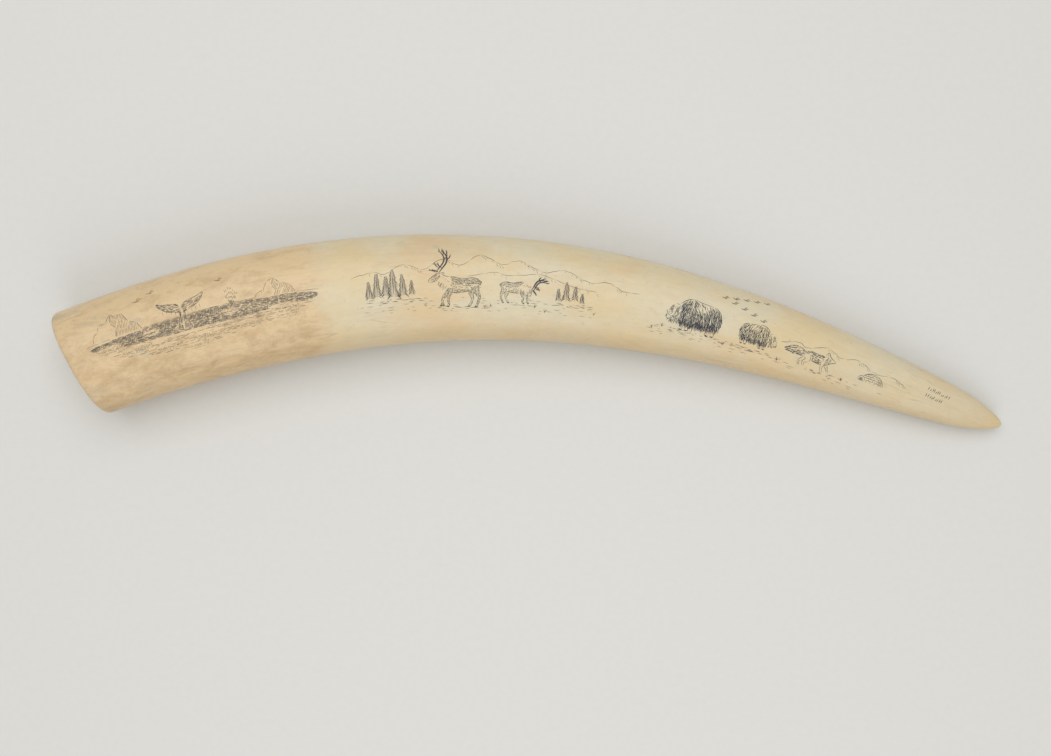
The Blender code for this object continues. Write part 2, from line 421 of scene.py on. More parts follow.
def musk_ox(x, y, size, ink, mirror=False):
    """A musk ox, its skirt of hair hanging almost to the ground; it faces left."""
    pen = Blade(x, y, size, mirror=mirror)
    for foot in (-7.6, -3.8, 9.4, 12.8):
        pen.limb([(foot + 0.6, 5.6), (foot + 0.2, 2.2), (foot, 0.2)], (2.5, 1.9, 2.3), ink)
        pen.stroke([(foot - 1.2, 0.4), (foot, 0.5), (foot + 1.1, 0.4)], 0.8, ink)
    back = [(-10.6, 15.8), (-6.6, 19.2), (-2.4, 20.5), (2.0, 19.5), (7.0, 18.9), (11.6, 18.3),
            (15.0, 15.9), (16.7, 11.6), (16.3, 8.0)]
    body = smooth([*back, (14.9, 5.4), (9.0, 4.4), (2.0, 4.0), (-4.0, 4.1), (-8.6, 5.0),
                   (-11.6, 7.6), (-12.4, 12.6)], closed=True)
    pen.clear(body)

    def lie(px, py):
        top = min(max((py - 9.0) / 10.0, 0.0), 1.0)
        return -90 + top * (38 if px > -3 else -18) + 5 * math.sin(px * 1.3)

    def saddle(px, py):
        return 0.28 if math.hypot((px - 3.0) / 4.4, (py - 17.0) / 2.6) < 1 else 1.0

    pen.hair(body, lie, ink, gap=0.67, length=3.3, width=0.34, keep=saddle)
    skirt = smooth([(-9.6, 8.2), (0, 8.2), (8, 8.6), (15.4, 9.2), (14.6, 6.4), (8, 5.4), (0, 5.0),
                    (-8.0, 5.8)], closed=True)
    pen.hair(skirt, lambda px, py: -90 + 4 * math.sin(px), ink, gap=0.80, length=4.2, width=0.37)
    pen.line(back, ink, width=0.34)
    brow = [(-9.8, 14.9), (-12.2, 15.4), (-14.4, 14.3), (-16.0, 12.0), (-17.3, 9.2), (-18.0, 6.9),
            (-17.0, 5.3), (-14.4, 5.1)]
    head = smooth([*brow, (-11.4, 6.4), (-9.6, 9.0)], closed=True)
    pen.clear(head)
    pen.hair(head, -112, ink, gap=0.68, length=2.0, width=0.34,
             keep=lambda px, py: 0.4 if px < -15.2 and py < 8.6 else 1.0)
    pen.line(brow, ink, width=0.32)
    pen.limb([(-12.3, 14.7), (-13.3, 12.2), (-13.5, 9.4), (-14.8, 7.9), (-16.8, 8.8),
              (-18.0, 11.0)], (2.9, 2.3, 1.7, 1.3, 0.8, 0.1), ink)
    pen.hatch([(-14.2, 13.4), (-11.6, 13.8), (-12.6, 10.0), (-13.8, 9.8)], 10, ink, gap=0.6,
              width=0.2, dash=(0.8, 1.5), keep=0.8)
    pen.stroke([(-15.9, 10.8), (-15.3, 11.1), (-14.8, 10.8)], 0.44, ink)
    pen.hair([(-15.8, 5.8), (-11.2, 6.2), (-10.4, 4.8), (-13.2, 4.4)], -95, ink, gap=0.7,
             length=2.2, width=0.3)


def fox(x, y, size, ink):
    """An arctic fox at a trot, in its grey summer coat; it faces right."""
    pen = Blade(x, y, size, mirror=True)
    pen.limb([(-4.8, 5.6), (-6.7, 4.2), (-7.3, 2.5), (-8.6, 2.0)], (2.2, 1.2, 0.8, 0.9), ink)
    pen.limb([(5.6, 6.4), (7.4, 4.9), (9.7, 3.4), (9.8, 1.4), (9.0, 0.9)], (3.6, 2.0, 1.0, 0.8, 0.9), ink)
    tail = [(6.8, 8.6), (10.2, 10.2), (14.4, 10.4), (18.0, 8.6), (18.6, 7.0), (15.8, 6.2),
            (12.2, 6.0), (9.0, 6.2), (7.0, 6.6)]
    pen.clear(smooth(tail, closed=True))
    pen.line(tail, ink, width=0.32, passes=6)
    pen.hair(smooth(tail, closed=True), -16, ink, gap=0.66, length=1.8, width=0.35,
             keep=lambda px, py: 1.0 if py < 8.0 or px > 15.5 else 0.5)
    body = smooth([(-6.0, 5.8), (-5.8, 8.8), (-3.6, 9.9), (0.4, 9.7), (4.2, 10.1), (7.2, 8.9),
                   (7.9, 6.6), (6.2, 5.2), (2.8, 5.0), (-1.4, 4.5), (-4.4, 4.4)], closed=True)
    pen.clear(body)
    pen.line([(-4.4, 9.8), (-3.2, 9.9), (0.4, 9.7), (4.2, 10.1), (6.8, 9.2)], ink, width=0.32)
    pen.line([(4.8, 5.2), (2.8, 5.0), (-1.4, 4.5), (-3.4, 4.5)], ink, width=0.32)
    pen.hair(body, -12, ink, gap=0.62, length=1.4, width=0.35,
             keep=lambda px, py: 1.0 if py < 6.4 or py > 8.4 else 0.6)
    pen.limb([(6.2, 7.8), (4.9, 5.0), (7.3, 3.2), (6.6, 1.3), (5.8, 0.4)],
             (4.4, 2.6, 1.1, 0.9, 1.0), ink, open_ends=True)
    pen.limb([(-4.2, 6.8), (-3.7, 3.8), (-4.1, 1.5), (-5.2, 0.4)], (2.8, 1.3, 0.9, 1.0), ink,
             open_ends=True)
    face = [(-4.4, 9.8), (-4.5, 10.9), (-5.2, 12.2), (-6.2, 12.3), (-6.9, 10.9), (-8.2, 9.9),
            (-9.8, 9.1), (-10.9, 8.7), (-10.7, 7.9), (-9.0, 7.5), (-7.6, 6.4), (-6.2, 5.2)]
    pen.clear(smooth([*face, (-5.0, 6.4)], closed=True))
    pen.line(face, ink, width=0.32)
    pen.stroke([(-5.4, 10.6), (-5.7, 11.3), (-5.5, 11.8)], 0.3, ink)
    pen.stroke([(-8.5, 9.0), (-8.1, 9.2), (-7.7, 9.0)], 0.44, ink)
    pen.stroke([(-11.1, 8.7), (-10.8, 8.4), (-10.6, 8.1)], 0.5, ink)
    pen.hair([(-8.6, 9.2), (-5.6, 11.2), (-4.8, 5.6), (-6.6, 5.4)], -62, ink, gap=0.70, length=1.4,
             width=0.32)


def snow_house(x, y, half, ink):
    """A snow house: a dome of sawn blocks in leaning rows, and its low way in."""
    pen = Blade(x, y)
    dome = [(half, half * 0.86) * heading(angle) for angle in range(0, 181, 12)]
    pen.clear([*dome, (-half, -0.2), (half, -0.2)])
    pen.line(dome, ink, width=0.34)
    for row in (0.22, 0.44, 0.64, 0.82):
        reach = half * math.sqrt(1 - row**2)
        level = half * 0.86 * row
        pen.line([(-reach, level), (0, level + 0.25), (reach, level)], ink, width=0.26)
        for joint in np.arange(-reach + hand.uniform(0.8, 1.6), reach - 0.5, 2.6):
            pen.stroke([(joint, level - half * 0.17), (joint + 0.1, level - half * 0.09),
                        (joint, level)], 0.26, ink)
    arch = [(-half - 1.6, 0.0), (-half - 1.4, 2.2), (-half + 0.4, 3.4), (-half + 2.2, 2.4),
            (-half + 2.5, 0.0)]
    pen.clear(smooth(arch))
    pen.line(arch, ink)
    pen.hatch(smooth([(-half - 1.0, 0.0), (-half - 0.8, 1.7), (-half + 0.4, 2.6),
                      (-half + 1.6, 1.8), (-half + 1.8, 0.0)]), 80, ink, gap=0.5, width=0.42)
    pen.hatch([(half * 0.55, 0.3), (half * 0.98, 0.3), (half * 0.80, half * 0.5),
               (half * 0.5, half * 0.66)], 58, ink, gap=0.8, width=0.24)


# The sea, at the wide end: whales among bergs and floes, in ink worn brown.
SEA_LEVEL = 4.6


def sea_scene():
    Blade().line([(14, SEA_LEVEL - 0.4), (60, SEA_LEVEL + 0.7), (106, SEA_LEVEL + 0.8),
                  (152, SEA_LEVEL - 0.6)], "brown", width=0.22)
    far_water = smooth([(17, 2.6), (40, 4.1), (70, 5.2), (100, 5.2), (126, 4.5), (149, 2.6),
                        (145, -1.4), (110, -3.6), (70, -3.8), (36, -2.4), (20, -0.8)], closed=True)
    near_water = smooth([(23, -1.8), (60, -4.2), (110, -4.0), (146, -2.0), (139, -5.8), (118, -9.8),
                         (92, -12.6), (66, -13.2), (42, -10.4), (27, -5.8)], closed=True)
    pen = Blade()
    pen.hatch(far_water, 1, "grey", gap=0.47, width=0.40, dash=(2.5, 7.0))
    pen.hatch(far_water, 82, "grey", gap=0.72, width=0.34, dash=(1.5, 4.0), keep=0.85)
    pen.hatch(near_water, 1, "brown", gap=0.75, width=0.34, dash=(2.0, 6.5), keep=0.6)
    crest = [(-15, 0), (-13.6, 4.6), (-10.4, 6.2), (-8.8, 10.2), (-5.0, 9.6), (-1.4, 14.6),
             (1.6, 11.8), (5.0, 12.8), (8.0, 6.8), (12.0, 4.8), (14.4, 0)]
    fold = [(-1.4, 14.6), (-2.4, 9.0), (0.2, 5.2), (-1.6, 0)]
    iceberg(34, SEA_LEVEL, crest, fold, "brown")
    low_crest = [(-13, 0), (-11.6, 3.0), (-7.4, 4.4), (-5.0, 8.8), (-1.2, 10.2), (2.2, 6.6),
                 (6.6, 5.4), (10, 0)]
    low_fold = [(-1.2, 10.2), (-2.6, 6.2), (-0.6, 3.0), (-2.2, 0)]
    iceberg(128, SEA_LEVEL - 0.4, low_crest, low_fold, "brown", size=1.05)
    blowing_whale(109, -0.6, "grey")
    flukes(72, -2.2, "grey")
    floes = ((26, -0.4, 15, 2.8), (41, -4.6, 20, 4.0), (60, -8.8, 17, 3.6), (85, -7.6, 21, 4.2),
             (109, -7.2, 18, 3.8), (130, -2.2, 19, 3.4), (98, 1.6, 8, 1.5), (52, 1.6, 9, 1.6),
             (76, -12.4, 15, 2.6), (131, -6.8, 12, 2.2))
    for x, y, long, deep in floes:
        floe(x, y, long, deep, "brown")
    for x, y, size in ((49, 21.5, 1.15), (57, 24.5, 1.0), (96, 20.5, 0.9)):
        goose(x, y, size, "brown")


# The tree line, half way along: caribou before low hills, in grey and black.


def tree_line_scene():
    hills([(170, 7), (182, 9.5), (190, 8), (200, 12.8), (212, 9.6), (222, 15.4), (233, 11.8),
           (244, 18.2), (256, 12.6), (266, 15.4), (280, 9.8), (292, 12), (306, 7), (318, 8.2),
           (328, 4.6), (337, 5.4)], "grey")
    hills([(236, 5), (252, 7.6), (262, 6.2), (278, 8.0), (296, 3.4), (312, 1.6)], "brown", keep=0.4)
    ground(174, -7.5, 136, 7, "grey", rows=6, keep=0.42)
    trees = ((180, 11), (184.5, 15), (189.5, 12.5), (194, 17.5), (199.5, 13.5), (204.5, 9),
             (290, 8), (294.5, 11.5), (299.5, 9), (304, 6.5))
    for k, (x, tall) in enumerate(trees):
        spruce(x, -6.5 + 0.6 * (k % 3), tall, "black")
    ground(176, -7.2, 32, 1.6, "black", rows=3, keep=0.8, width=0.32)
    ground(286, -7.2, 22, 1.4, "black", rows=3, keep=0.8, width=0.3)
    caribou(264, -9.5, 0.62, "grey", "black", mirror=True, head_swing=64)
    caribou(233, -12.5, 0.86, "grey", "black")
    ground(218, -12.4, 32, 1.2, "grey", rows=3, keep=0.7, width=0.3)
    ground(253, -9.4, 26, 1.0, "grey", rows=2, keep=0.7, width=0.28)
    for x in (212, 222, 247, 251, 276, 282, 312):
        tussock(x + hand.uniform(-1, 1), -12.5 + hand.uniform(-1.5, 2.0), "grey")


# The open tundra, toward the tip: musk oxen in the blackest ink, a fox, a snow house and geese.


def tundra_scene():
    hills([(424, -0.6), (434, 2.6), (441, 1.0), (452, 5.0), (462, 1.8), (472, 4.0), (484, 0.6),
           (496, 1.6), (506, -1.5)], "grey")
    ground(343, -10, 59, 5, "black", rows=5, keep=0.45)
    ground(402, -10, 88, 4, "black", rows=4, keep=0.4)
    snow_house(484, -6.6, 7.2, "black")
    musk_ox(410, -8.4, 0.68, "black", mirror=True)
    musk_ox(371, -10.2, 0.95, "black")
    for x, long in ((356, 34), (397, 24), (440, 20)):
        ground(x, -10.4, long, 1.3, "black", rows=3, keep=0.75, width=0.32)
    fox(448, -10.6, 1.05, "black")
    for x in (347, 353, 391, 396, 425, 466):
        tussock(x, -11.5 + hand.uniform(-1.6, 0.6), "black")
    for k in range(9):
        wing = (k + 1) // 2 * (1 if k % 2 else -1)
        goose(386 + abs(wing) * 6.2, 15.2 - abs(wing) * 0.4 + wing * 1.55, 0.85, "black")


# Two rows of small slanting strokes near the tip, which say nothing.


def closing_strokes():
    pen = Blade(518, 2.6, turn=-4)
    for row, long in ((0.0, 15.0), (-4.2, 10.5)):
        at = 0.0
        while at < long:
            tall = hand.uniform(1.4, 3.2)
            top = (at + hand.uniform(0.2, 0.7), row + tall)
            pen.stroke([(at, row), (at + 0.25, row + tall / 2), top], 0.46, "black")
            at += hand.uniform(0.9, 1.6)


sea_scene()
tree_line_scene()
tundra_scene()
closing_strokes()


# The ivory.
# A walrus tusk is one long tooth that bows and tapers, sawn off at the butt. Its bark is scraped and
# polished off, and each line of the pictures is cut into it as a real V. The cuts cross freely, so
# that part of the skin is a window, filled with triangles that follow every edge of every cut.

# The form is the solid's, from the same sizes, in metres.
TIP_REACH = 0.5525  # from the butt's centre to the tip, along X
TIP_DROP = 0.0365  # how far the tip lies below the butt's centre, along -Y
BUTT_HEADING = math.radians(21.0)
TIP_HEADING = math.radians(-20.4)
BUTT_HANDLE = 0.265
TIP_HANDLE = 0.166
WIDTHS = {  # across the bow, by share of the length
    0.00: 0.0665,
    0.20: 0.0675,
    0.40: 0.0630,
    0.60: 0.0540,
    0.80: 0.0390,
    0.92: 0.0265,
    1.00: 0.0140,
}
FLATNESS = 0.74  # thickness over width
SQUARENESS = 2.3  # 2 is a true ellipse
NOSE_LENGTH = 0.030
TIP_LIFT = 0.003
LIFT_START = 0.70  # share of the length
BUTT_SKEW = math.radians(7.5)
SKEW_FADE = 0.080
RIM_RADIUS = 0.004
FLAT_DEPTH = 0.0002
WAVER = 0.00016  # hand scraping leaves the skin this far from true


def middle_line(steps=1200):
    """Points down the middle of the tusk, the way it heads at each, and the distance run."""
    t = np.linspace(0.0, 1.0, steps + 1)[:, None]
    r = 1.0 - t
    start = np.zeros(2)
    end = np.array((TIP_REACH, -TIP_DROP))
    leave = start + BUTT_HANDLE * np.array((math.cos(BUTT_HEADING), math.sin(BUTT_HEADING)))
    arrive = end - TIP_HANDLE * np.array((math.cos(TIP_HEADING), math.sin(TIP_HEADING)))
    points = r**3 * start + 3 * r * r * t * leave + 3 * r * t * t * arrive + t**3 * end
    heading = r * r * (leave - start) + 2 * r * t * (arrive - leave) + t * t * (end - arrive)
    heading /= np.linalg.norm(heading, axis=1)[:, None]
    return points, heading, lengths(points)


LINE, HEADING, RUN = middle_line()
LENGTH = RUN[-1]


def half_width(distance):
    """Half the width across the bow, on a smooth curve through WIDTHS."""
    shares = np.array(list(WIDTHS))
    widths = np.array(list(WIDTHS.values()))
    last = len(shares) - 1
    low = np.maximum(np.arange(last + 1) - 1, 0)
    high = np.minimum(np.arange(last + 1) + 1, last)
    slopes = (widths[high] - widths[low]) / (shares[high] - shares[low])
    share = np.clip(distance / LENGTH, 0.0, 1.0)
    i = np.clip(np.searchsorted(shares, share, side="right") - 1, 0, last - 1)
    span = shares[i + 1] - shares[i]
    t = (share - shares[i]) / span
    width = (
        (2 * t**3 - 3 * t**2 + 1) * widths[i]
        + (t**3 - 2 * t**2 + t) * span * slopes[i]
        + (3 * t**2 - 2 * t**3) * widths[i + 1]
        + (t**3 - t**2) * span * slopes[i + 1]
    )
    return width / 2


def swell(value):
    """Turns a circle's sine or cosine into that of the fuller oval."""
    return np.sign(value) * np.abs(value) ** (2 / SQUARENESS)


def half_girth(steps=4000):
    """Angles from the crest to the underside of a section of half width 1, and the way run to each."""
    angle = np.linspace(0.0, math.pi, steps + 1)
    steps_made = np.hypot(np.diff(swell(np.sin(angle))), np.diff(FLATNESS * swell(np.cos(angle))))
    return angle, np.concatenate(([0.0], np.cumsum(steps_made)))


GIRTH_ANGLE, GIRTH_RUN = half_girth()


def girth(distance):
    """The way round the tusk at a distance along it."""
    return 2 * GIRTH_RUN[-1] * half_width(distance)


def unbent(distance, turn):
    """Out and up of a point of the skin, as if the tusk were straight.

    turn is the share of the girth from the crest, from -0.5 to 0.5, and positive to the
    outside of the bow.
    """
    angle = np.interp(np.abs(turn) * 2 * GIRTH_RUN[-1], GIRTH_RUN, GIRTH_ANGLE)
    into_nose = np.maximum(distance - (LENGTH - NOSE_LENGTH), 0.0) / NOSE_LENGTH
    rounding = np.sqrt(np.maximum(1.0 - into_nose**2, 0.0))
    from_rim = np.maximum(RIM_RADIUS - distance, 0.0)
    inset = RIM_RADIUS - np.sqrt(RIM_RADIUS**2 - from_rim**2)
    half = half_width(distance)
    out = (half * rounding - inset) * swell(np.sin(angle)) * np.sign(turn)
    up = (half * FLATNESS * rounding - inset) * swell(np.cos(angle))
    return out, up


def bend(distance, out, up):
    """Puts a point of the straight tusk where it lies in the bowed one."""
    centre = np.stack([np.interp(distance, RUN, LINE[:, k]) for k in (0, 1)], axis=-1)
    along = np.stack([np.interp(distance, RUN, HEADING[:, k]) for k in (0, 1)], axis=-1)
    across = np.stack((-along[:, 1], along[:, 0]), axis=-1)
    fade = np.maximum(1.0 - distance / SKEW_FADE, 0.0) ** 2
    back = -math.tan(BUTT_SKEW) * out * fade
    lift = np.maximum(distance / LENGTH - LIFT_START, 0.0) / (1 - LIFT_START)
    height = half_width(distance) * FLATNESS - FLAT_DEPTH + TIP_LIFT * lift**2
    flat = centre + out[:, None] * across + back[:, None] * along
    return np.column_stack((flat, np.maximum(height + up, 0.0)))


def waver(distance, turn):
    """The scraper's long shallow facets: how far the skin stands in from its true form."""
    round_it = 2 * math.pi * turn
    ripple = (
        np.sin(3 * round_it + distance * 21 + 0.7)
        + 0.8 * np.sin(5 * round_it - distance * 34 + 2.1)
        + 0.7 * np.sin(2 * round_it + distance * 73 + 4.0)
        + 0.5 * np.sin(9 * round_it + distance * 18 + 1.3)
    )
    ends = np.clip(np.minimum(distance - RIM_RADIUS, LENGTH - NOSE_LENGTH - distance) / 0.02, 0, 1)
    return WAVER * ends * (3.0 - ripple) / 6.0


def find_home():
    """Where the middle line starts in the frame: the form's own box is laid on the solid's."""
    distance, turn = np.meshgrid(np.linspace(0, LENGTH, 400), np.linspace(-0.5, 0.5, 200))
    places = bend(distance.ravel(), *unbent(distance.ravel(), turn.ravel()))
    low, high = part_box("tusk")
    own = (places.min(axis=0) + places.max(axis=0)) / 2
    return np.array(((low.x + high.x) / 2 - own[0], (low.y + high.y) / 2 - own[1], 0.0))


HOME = find_home()

SIDES = 64
RIM_RINGS = 5
BODY_RINGS = 168
NOSE_RINGS = 14
WINDOW_SIDES = 14  # how many sides of the skin the window reaches over, each way from the crest
WINDOW_ENDS = 0.006  # plain skin before and after it
WINDOW_GRAIN = 1.9  # mm between the points that carry the curve of the bare skin
CUT_SLOPE = 0.75  # depth of a cut over half its width
DEEPEST = 0.18  # mm; a wide cut has a flat floor at this depth
BUTT_STEPS = 4
BUTT_STEP = 0.004
BAKE_SHEET = 0.352  # side of the square that the skin is unrolled on, in metres
BAKE_EDGE = 0.003
BAKE_FIRST_ROW = 0.099
BAKE_SECOND_ROW = 0.275
BAKE_BUTT = (0.262, 0.325)


def ring_distances():
    """How far along the tusk each ring of the skin lies: close together at the rim and nose."""
    rim = [RIM_RADIUS * (1 - math.cos(math.pi / 2 * k / RIM_RINGS)) for k in range(RIM_RINGS)]
    nose_start = LENGTH - NOSE_LENGTH
    body = [RIM_RADIUS + (nose_start - RIM_RADIUS) * k / BODY_RINGS for k in range(BODY_RINGS)]
    nose = [
        nose_start + NOSE_LENGTH * math.sin(math.pi / 2 * k / NOSE_RINGS)
        for k in range(NOSE_RINGS + 1)
    ]
    return rim + body + nose


def skin_points(distance, turn, depth=0.0):
    """Points of the skin, in metres, or of a cut in it that is so deep there."""
    distance = np.asarray(distance, float)
    turn = np.asarray(turn, float)
    out, up = unbent(distance, turn)
    true = bend(distance, out, up)
    near = 1e-5
    ahead = bend(distance + near, *unbent(distance + near, turn))
    beside = bend(distance, *unbent(distance, turn + near))
    normal = np.cross(ahead - true, beside - true)
    normal /= np.maximum(np.linalg.norm(normal, axis=1), 1e-15)[:, None]
    placed = HOME + true - normal * (waver(distance, turn) + depth)[:, None]
    placed[:, 2] = np.maximum(placed[:, 2], 0.0)
    return placed


def skin_normals(distance, turn):
    """Which way the bare skin faces."""
    near = 2e-5
    ahead = skin_points(distance + near, turn) - skin_points(distance - near, turn)
    beside = skin_points(distance, turn + near) - skin_points(distance, turn - near)
    normal = np.cross(ahead, beside)
    return normal / np.linalg.norm(normal, axis=1)[:, None]


def straight_blank(rings):
    """A closed round bar of unit length along Z, cut into rings, as in the solid's own making."""
    bar = bmesh.new()
    bmesh.ops.create_cone(bar, cap_ends=True, segments=SIDES, radius1=1.0, radius2=1.0, depth=1.0)
    bmesh.ops.translate(bar, verts=bar.verts, vec=(0.0, 0.0, 0.5))
    lengthwise = [e for e in bar.edges if abs(e.verts[0].co.z - e.verts[1].co.z) > 0.5]
    bmesh.ops.subdivide_edges(bar, edges=lengthwise, cuts=rings - 2, use_grid_fill=True)
    return bar


rings = ring_distances()
skin = straight_blank(len(rings))
along_skin = skin.verts.layers.float.new("along")
round_skin = skin.verts.layers.float.new("round")
deep_skin = skin.verts.layers.float.new("deep")
ink_skin = skin.faces.layers.int.new("ink")
grid = {}
for vert in skin.verts:
    ring = round(vert.co.z * (len(rings) - 1))
    side = -round(math.atan2(vert.co.y, vert.co.x) / (2 * math.pi) * SIDES)
    side = SIDES // 2 if side == -SIDES // 2 else side
    vert[along_skin] = rings[ring]
    vert[round_skin] = side / SIDES
    grid[ring, side] = vert

first = next(k for k, distance in enumerate(rings) if distance > WINDOW_ENDS)
last = next(k for k, distance in enumerate(rings) if distance > LENGTH - NOSE_LENGTH - WINDOW_ENDS) - 1
pane = {
    grid[ring, side]
    for ring in range(first, last + 1)
    for side in range(-WINDOW_SIDES, WINDOW_SIDES + 1)
}
panes = [face for face in skin.faces if all(vert in pane for vert in face.verts)]
bmesh.ops.delete(skin, geom=panes, context="FACES")

frame_keys = (
    [(ring, -WINDOW_SIDES) for ring in range(first, last)]
    + [(last, side) for side in range(-WINDOW_SIDES, WINDOW_SIDES)]
    + [(ring, WINDOW_SIDES) for ring in range(last, first, -1)]
    + [(first, side) for side in range(WINDOW_SIDES, -WINDOW_SIDES, -1)]
)


def to_skin(flat):
    """Distance along the tusk and turn round it, from millimetres along and round."""
    flat = np.asarray(flat, float).reshape(-1, 2)
    distance = flat[:, 0] / 1000
    return distance, flat[:, 1] / 1000 / girth(distance)


def flat_window():
    """The window's edge, its bare points and the cuts, as one flat drawing in millimetres."""
    edge = [
        (rings[ring] * 1000, side / SIDES * float(girth(np.array([rings[ring]]))[0]) * 1000)
        for ring, side in frame_keys
    ]
    points = list(edge)
    edges = [(k, (k + 1) % len(edge)) for k in range(len(edge))]
    faces = []
    for line, halves, _, _ in cuts:
        way = np.gradient(line, axis=0)
        way /= np.maximum(np.linalg.norm(way, axis=1), 1e-9)[:, None]
        side = np.column_stack((-way[:, 1], way[:, 0])) * halves[:, None]
        base = len(points)
        count = len(line)
        inner = range(1, count - 1)
        points.extend(map(tuple, line))
        points.extend(tuple(line[k] + side[k]) for k in inner)
        points.extend(tuple(line[k] - side[k]) for k in inner)
        edges.extend((base + k, base + k + 1) for k in range(count - 1))
        left = [base + count + k for k in range(count - 2)]
        right = [base + count + (count - 2) + k for k in range(count - 2)]
        faces.append([base, *right, base + count - 1, *reversed(left)])
    spread = random.Random(3)
    bare = []
    low, high = rings[first] * 1000, rings[last] * 1000
    rows = int((high - low) / (WINDOW_GRAIN * 0.87))
    for row in range(1, rows):
        distance = low + (high - low) * row / rows
        reach = WINDOW_SIDES / SIDES * float(girth(np.array([distance / 1000]))[0]) * 1000
        count = int(2 * reach / WINDOW_GRAIN)
        for k in range(1, count):
            place = -reach + 2 * reach * (k + (row % 2) * 0.5 - 0.25) / count
            bare.append((distance + spread.uniform(-0.1, 0.1), place + spread.uniform(-0.1, 0.1)))
    points.extend(bare)
    return points, edges, faces, len(edge)


points, edges, faces, edge_count = flat_window()
flat, _, triangles, from_point, _, from_face = geometry.delaunay_2d_cdt(
    [Vector(p) for p in points], edges, [list(range(edge_count))] + faces, 0, 1e-5, True
)
flat = np.array([tuple(p) for p in flat])
kept = [k for k, covers in enumerate(from_face) if 0 in covers]
triangles = [triangles[k] for k in kept]
covers = [[c - 1 for c in from_face[k] if c] for k in kept]


def cut_depths(flat, triangles, covers):
    """How deep in a cut each point lies, in millimetres: the deepest of the cuts that cross there."""
    cuts_at = [set() for _ in flat]
    bare = np.zeros(len(flat), bool)
    for triangle, cover in zip(triangles, covers):
        for corner in triangle:
            if cover:
                cuts_at[corner].update(cover)
            else:
                bare[corner] = True
    depth = np.zeros(len(flat))
    pairs = [(point, cut) for point, found in enumerate(cuts_at) if not bare[point] for cut in found]
    spans = [(point, cut, k) for point, cut in pairs for k in range(len(cuts[cut][0]) - 1)]
    who = np.array([span[0] for span in spans])
    start = np.array([cuts[cut][0][k] for _, cut, k in spans])
    end = np.array([cuts[cut][0][k + 1] for _, cut, k in spans])
    start_half = np.array([cuts[cut][1][k] for _, cut, k in spans])
    end_half = np.array([cuts[cut][1][k + 1] for _, cut, k in spans])
    way = end - start
    share = np.clip(((flat[who] - start) * way).sum(axis=1) / (way**2).sum(axis=1), 0, 1)
    off = np.linalg.norm(flat[who] - start - share[:, None] * way, axis=1)
    deep = CUT_SLOPE * (start_half + (end_half - start_half) * share - off)
    np.maximum.at(depth, who, deep)
    return np.minimum(depth, DEEPEST)


depth = cut_depths(flat, triangles, covers)
distance, turn = to_skin(flat)
window_verts = []
for point, sources in enumerate(from_point):
    on_edge = [k for k in sources if k < edge_count]
    if on_edge:
        window_verts.append(grid[frame_keys[on_edge[0]]])
        continue
    vert = skin.verts.new()
    vert[along_skin] = distance[point]
    vert[round_skin] = turn[point]
    vert[deep_skin] = depth[point] / 1000
    window_verts.append(vert)
for triangle, cover in zip(triangles, covers):
    face = skin.faces.new([window_verts[corner] for corner in triangle])
    if cover:
        face[ink_skin] = 1 + list(INKS).index(cuts[max(cover)][2])
loose = [vert for vert in skin.verts if not vert.link_faces]
bmesh.ops.delete(skin, geom=loose, context="VERTS")
for face in skin.faces:
    face.smooth = True
for edge in skin.edges:
    edge.smooth = len({face[ink_skin] > 0 for face in edge.link_faces}) < 2


def lay(shape, verts, most=DEEPEST / 1000):
    """Puts points where they lie on the skin or in its cuts, or no deeper than most."""
    layers = [shape.verts.layers.float[name] for name in ("along", "round", "deep")]
    distance, turn, deep = (np.array([vert[layer] for vert in verts]) for layer in layers)
    for vert, place in zip(verts, skin_points(distance, turn, np.minimum(deep, most))):
        vert.co = place


lay(skin, skin.verts)
cut_skin = skin.copy()

tip_ring = [grid[len(rings) - 1, side] for side in range(1 - SIDES // 2, SIDES // 2 + 1)]
tip = sum((vert.co for vert in tip_ring), Vector()) / SIDES
bmesh.ops.pointmerge(skin, verts=tip_ring, merge_co=tip)
butt = max(skin.faces, key=lambda face: len(face.verts))
butt.smooth = False
butt.material_index = 1
for _ in range(BUTT_STEPS):
    ring = bmesh.ops.inset_individual(skin, faces=[butt], thickness=BUTT_STEP, depth=0.0)
    for face in ring["faces"]:
        face.material_index = 1
bmesh.ops.poke(skin, faces=[butt])

ivory_mesh = bpy.data.meshes.new("ivory")
skin.to_mesh(ivory_mesh)
skin.free()


def values(items, name, kind=float, width=1):
    """One value, or a few, of each item of a mesh."""
    found = np.empty(len(items) * width, kind)
    items.foreach_get(name, found)
    return found


def straight_places(mesh):
    """Each point as if the tusk were straight: distance along, out and up, for the grain to follow."""
    place = values(mesh.vertices, "co", width=3).reshape(-1, 3)
    distance, turn = (values(mesh.attributes[name].data, "value") for name in ("along", "round"))
    out, up = unbent(distance, turn)
    sawn = distance < 1e-7
    across = np.array((-HEADING[0, 1], HEADING[0, 0], 0.0))
    out[sawn] = (place[sawn] - HOME) @ across
    up[sawn] = place[sawn, 2] - float(half_width(np.zeros(1))[0]) * FLATNESS
    return np.column_stack((distance, out, up)), turn


straight, turn = straight_places(ivory_mesh)
ivory_mesh.attributes.new("unbent", "FLOAT_VECTOR", "POINT")
ivory_mesh.attributes["unbent"].data.foreach_set("vector", straight.astype(np.float32).ravel())

corner_point = values(ivory_mesh.loops, "vertex_index", np.int32)
corners_of = values(ivory_mesh.polygons, "loop_total", np.int32)
corner_face = np.repeat(np.arange(len(corners_of)), corners_of)


